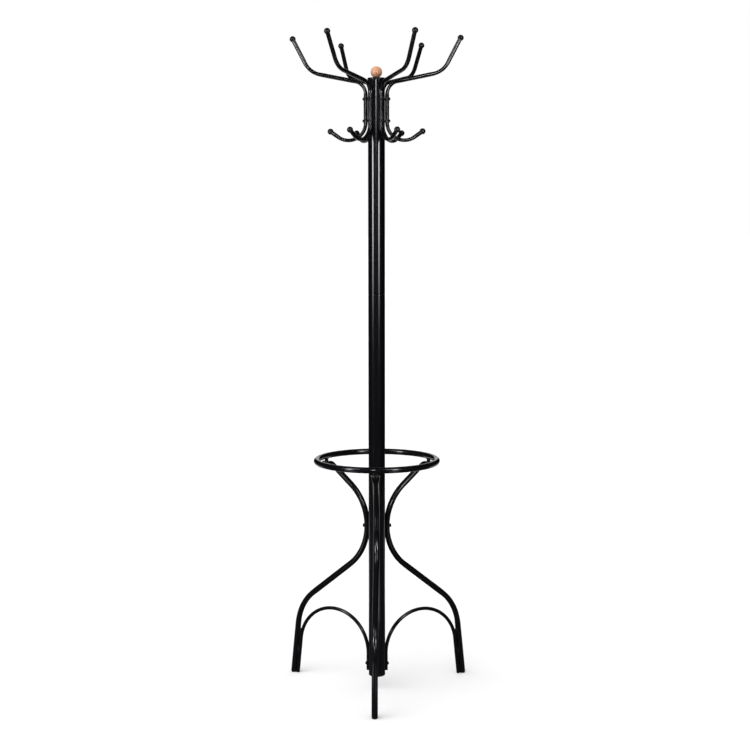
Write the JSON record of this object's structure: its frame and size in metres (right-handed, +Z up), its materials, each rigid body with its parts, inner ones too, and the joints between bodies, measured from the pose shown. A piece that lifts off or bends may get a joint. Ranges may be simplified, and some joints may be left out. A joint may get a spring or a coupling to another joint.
{
  "type": "standing coat rack",
  "caption": "Free-standing tubular coat rack: tall round pole, crown of double hooks under a wooden ball, S-bent legs with arched braces and a ring for umbrellas.",
  "frame": {"origin": "on the floor under the middle of the rack's bounding box; the pole's axis stands 38.6 mm behind it, towards +Y", "axes": "+Z up along the pole; -Y towards the front leg; +X to the right for someone facing the front leg"},
  "size_m": [0.483, 0.4783, 1.7229],
  "materials": {
    "black_enamel": "glossy black stove enamel over steel tube, slightly rippled like orange peel",
    "black_plastic": "black moulded plastic, satin to gloss",
    "black_screw": "black phosphated and lacquered steel screws with domed heads",
    "zinc_steel": "bright zinc plate on the hidden sleeves and stud",
    "turned_beech": "turned beech under a thin clear lacquer"
  },
  "bodies": {
    "root": {"pole_lower": "black_enamel", "pole_middle": "black_enamel", "pole_upper": "black_enamel", "sleeve_lower": "zinc_steel", "sleeve_upper": "zinc_steel", "pole_top_cap": "black_plastic", "pole_foot_cap": "black_plastic", "finial_ball": "turned_beech", "finial_stud": "zinc_steel", "umbrella_ring": "black_enamel", "front_leg": "black_enamel", "front_foot_plug": "black_plastic", "front_brace": "black_enamel", "front_leg_screw": "black_screw", "front_brace_screw": "black_screw", "front_ring_screw": "black_screw", "right_leg": "black_enamel", "right_foot_plug": "black_plastic", "right_brace": "black_enamel", "right_leg_screw": "black_screw", "right_brace_screw": "black_screw", "right_ring_screw": "black_screw", "left_leg": "black_enamel", "left_foot_plug": "black_plastic", "left_brace": "black_enamel", "left_leg_screw": "black_screw", "left_brace_screw": "black_screw", "left_ring_screw": "black_screw", "right_hook": "black_enamel", "right_hook_upper_screw": "black_screw", "right_hook_lower_screw": "black_screw", "right_hook_upper_ball": "black_plastic", "right_hook_lower_ball": "black_plastic", "rear_right_hook": "black_enamel", "rear_right_hook_upper_screw": "black_screw", "rear_right_hook_lower_screw": "black_screw", "rear_right_hook_upper_ball": "black_plastic", "rear_right_hook_lower_ball": "black_plastic", "rear_left_hook": "black_enamel", "rear_left_hook_upper_screw": "black_screw", "rear_left_hook_lower_screw": "black_screw", "rear_left_hook_upper_ball": "black_plastic", "rear_left_hook_lower_ball": "black_plastic", "left_hook": "black_enamel", "left_hook_upper_screw": "black_screw", "left_hook_lower_screw": "black_screw", "left_hook_upper_ball": "black_plastic", "left_hook_lower_ball": "black_plastic", "front_left_hook": "black_enamel", "front_left_hook_upper_screw": "black_screw", "front_left_hook_lower_screw": "black_screw", "front_left_hook_upper_ball": "black_plastic", "front_left_hook_lower_ball": "black_plastic", "front_right_hook": "black_enamel", "front_right_hook_upper_screw": "black_screw", "front_right_hook_lower_screw": "black_screw", "front_right_hook_upper_ball": "black_plastic", "front_right_hook_lower_ball": "black_plastic"}
  },
  "joints": []
}
